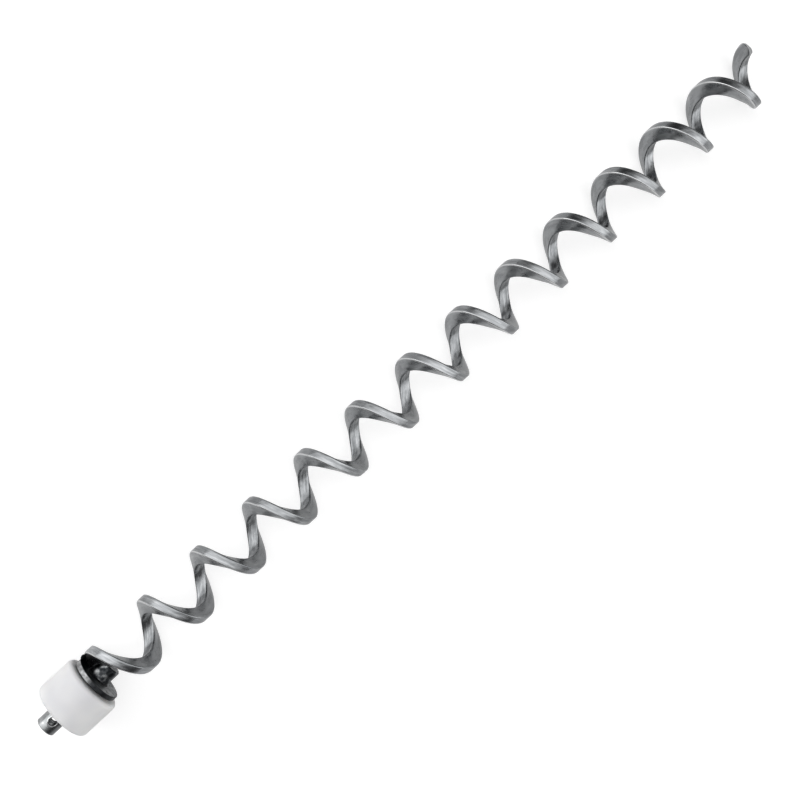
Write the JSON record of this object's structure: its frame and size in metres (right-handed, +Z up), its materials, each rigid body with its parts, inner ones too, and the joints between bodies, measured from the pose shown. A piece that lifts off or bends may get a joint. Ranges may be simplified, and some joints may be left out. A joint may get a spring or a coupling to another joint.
{
  "type": "shaftless screw conveyor auger",
  "caption": "Shaftless feed auger: a flat steel bar wound on edge into an open helical flight, welded to a disc on a pinned drive shaft that turns in a nylon bushing.",
  "frame": {"origin": "centre of the drive shaft's end face, on the conveyor's axis", "axes": "+X along the conveyor's axis from the drive end to the flight's free tip, +Z up with the auger lying on its side and the shear pin's hole upright"},
  "size_m": [0.6313, 0.0406, 0.0406],
  "materials": {
    "flight_steel": "cold drawn flat bar, lightly brushed",
    "weld_steel": "dark weld metal",
    "disc_steel": "dark rolled plate with a turned rim",
    "shaft_steel": "bright turned bar",
    "nylon": "satin turned nylon"
  },
  "bodies": {
    "auger": {"flight_coil": "flight_steel", "flight_weld": "weld_steel", "flange_disc": "disc_steel", "hub_weld": "weld_steel", "drive_shaft": "shaft_steel"},
    "bushing": {"bushing": "nylon"}
  },
  "joints": [
    {"name": "bushing_turn", "type": "hinge", "parent": "auger", "child": "bushing", "pos_m": [0.02675, 0, 0], "axis": [1, 0, 0], "continuous": true}
  ]
}
